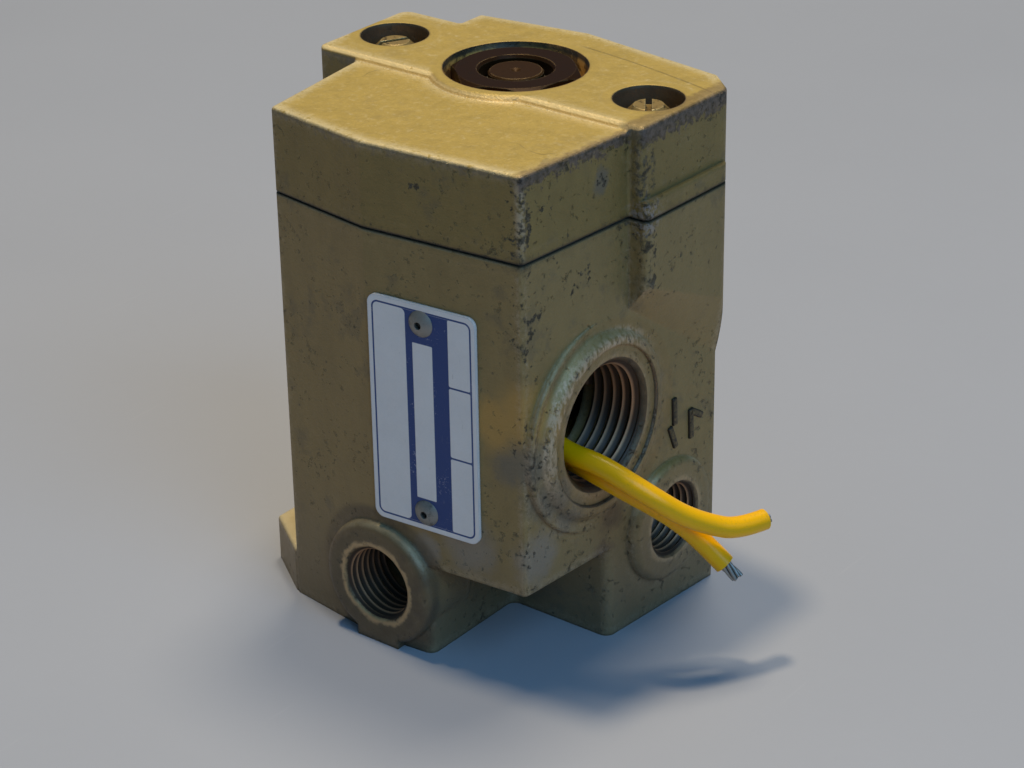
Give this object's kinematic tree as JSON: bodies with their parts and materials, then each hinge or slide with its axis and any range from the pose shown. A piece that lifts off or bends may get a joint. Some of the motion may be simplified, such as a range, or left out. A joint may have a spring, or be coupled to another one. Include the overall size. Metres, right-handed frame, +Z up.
{
  "type": "pneumatic pilot valve",
  "caption": "Direct-acting solenoid poppet valve in a die-cast block with threaded air ports, a screwed cap, a flush manual button in a hexagon nut and coil leads leaving a conduit entry.",
  "frame": {"origin": "on the mounting face of the base, under the axis of the valve and its solenoid", "axes": "+Z up along the valve axis, from the mounting face to the button; -Y towards the inlet; +X towards the outlet and the conduit entry; +Y towards the exhaust"},
  "size_m": [0.0858, 0.0591, 0.0872],
  "materials": {
    "housing": "satin",
    "gasket": "matte",
    "black_steel": "satin",
    "plated_steel": "satin",
    "yellow_plated_steel": "satin",
    "button_steel": "satin",
    "steel": "satin",
    "spring_steel": "satin",
    "copper": "satin",
    "tinned_copper": "satin",
    "brass": "satin",
    "rubber": "matte",
    "coil_resin": "matte",
    "printed_plate": "satin",
    "rivet": "satin",
    "lead_insulation": "satin"
  },
  "bodies": {
    "housing": {"valve_body": "housing", "cap": "housing", "cap_gasket": "gasket", "core_nut": "black_steel", "nut_washer": "plated_steel", "core_tube": "steel", "pole_piece": "steel", "shading_ring": "copper", "coil": "coil_resin", "yoke": "plated_steel", "flange_seal": "rubber", "lower_cage": "brass", "upper_cage": "brass", "guide_bushing": "brass", "cage_seal_lower": "rubber", "cage_seal_middle": "rubber", "cage_seal_upper": "rubber", "button_spring": "spring_steel", "armature_spring": "spring_steel", "poppet_spring": "spring_steel", "cap_screw_left": "yellow_plated_steel", "cap_screw_right": "yellow_plated_steel", "lock_washer_left": "yellow_plated_steel", "lock_washer_right": "yellow_plated_steel", "nameplate": "printed_plate", "upper_rivet": "rivet", "lower_rivet": "rivet", "lead_upper": "lead_insulation", "lead_lower": "lead_insulation", "lead_upper_strands": "tinned_copper", "lead_lower_strands": "tinned_copper"},
    "button": {"override_button": "button_steel", "button_clip": "spring_steel", "button_seal": "rubber"},
    "plunger": {"armature": "steel", "push_rod": "steel"},
    "poppet": {"poppet_stem": "steel", "lower_poppet": "steel", "lower_seal_disc": "rubber", "upper_poppet": "steel", "upper_seal_disc": "rubber"}
  },
  "joints": [
    {"name": "button_press", "type": "slide", "parent": "housing", "child": "button", "axis": [0, 0, -1], "range_m": [0, 0.0016], "stiffness_N_per_m": 400, "springref_m": -0.005, "deforming": ["button_spring"]},
    {"name": "plunger_slide", "type": "slide", "parent": "housing", "child": "plunger", "axis": [0, 0, -1], "range_m": [0, 0.0016], "stiffness_N_per_m": 300, "springref_m": -0.004, "deforming": ["armature_spring"]},
    {"name": "poppet_slide", "type": "slide", "parent": "housing", "child": "poppet", "axis": [0, 0, -1], "range_m": [0, 0.0016], "stiffness_N_per_m": 400, "springref_m": -0.004, "deforming": ["poppet_spring"]}
  ],
  "couplings": [
    {"joint": "plunger_slide", "follows": "button_press", "ratio": 1},
    {"joint": "poppet_slide", "follows": "button_press", "ratio": 1}
  ]
}
